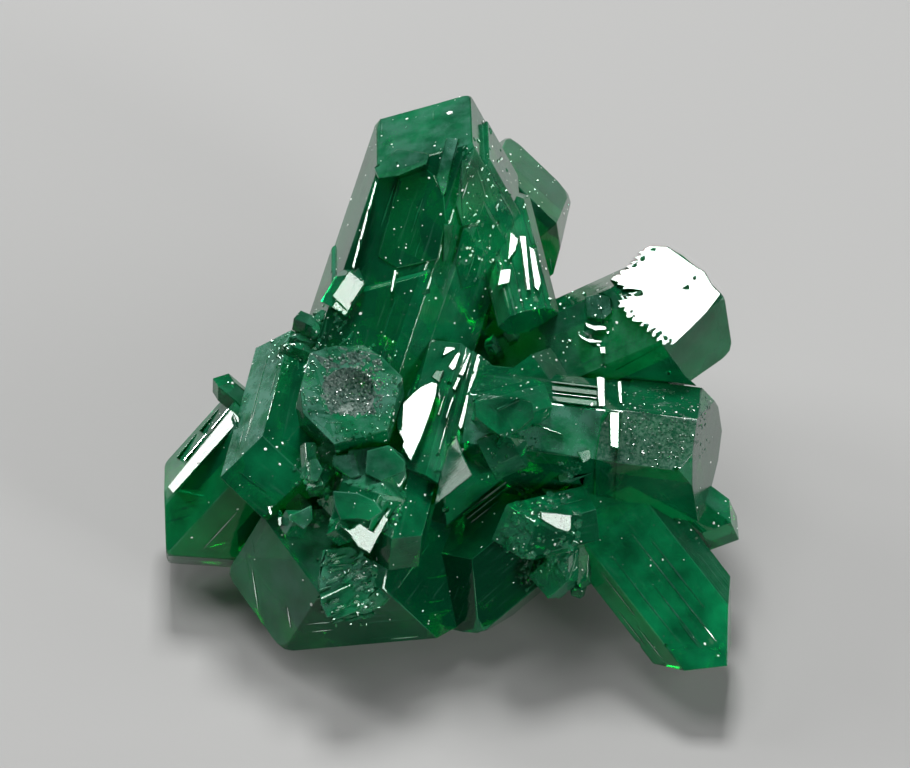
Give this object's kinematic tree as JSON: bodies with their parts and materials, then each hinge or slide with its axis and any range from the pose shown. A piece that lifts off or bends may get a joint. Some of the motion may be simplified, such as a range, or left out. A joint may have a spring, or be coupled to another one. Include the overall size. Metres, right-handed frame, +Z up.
{
  "type": "dioptase crystal cluster",
  "caption": "Loose cluster of stubby green dioptase crystals, six-sided prisms with three-faced points that grew together at many angles, resting on its flat broken base.",
  "frame": {"origin": "centre of the flat broken base, on the surface that the cluster rests on", "axes": "+Z up from the base, +X to the right and -Y to the front as the picture shows the cluster, which leans back"},
  "size_m": [0.0341, 0.0342, 0.0229],
  "materials": {
    "dioptase": "glassy, deep emerald green, clear at thin edges, with striations, chips and pale dust"
  },
  "bodies": {
    "root": {"crystal_cluster": "dioptase"}
  },
  "joints": []
}
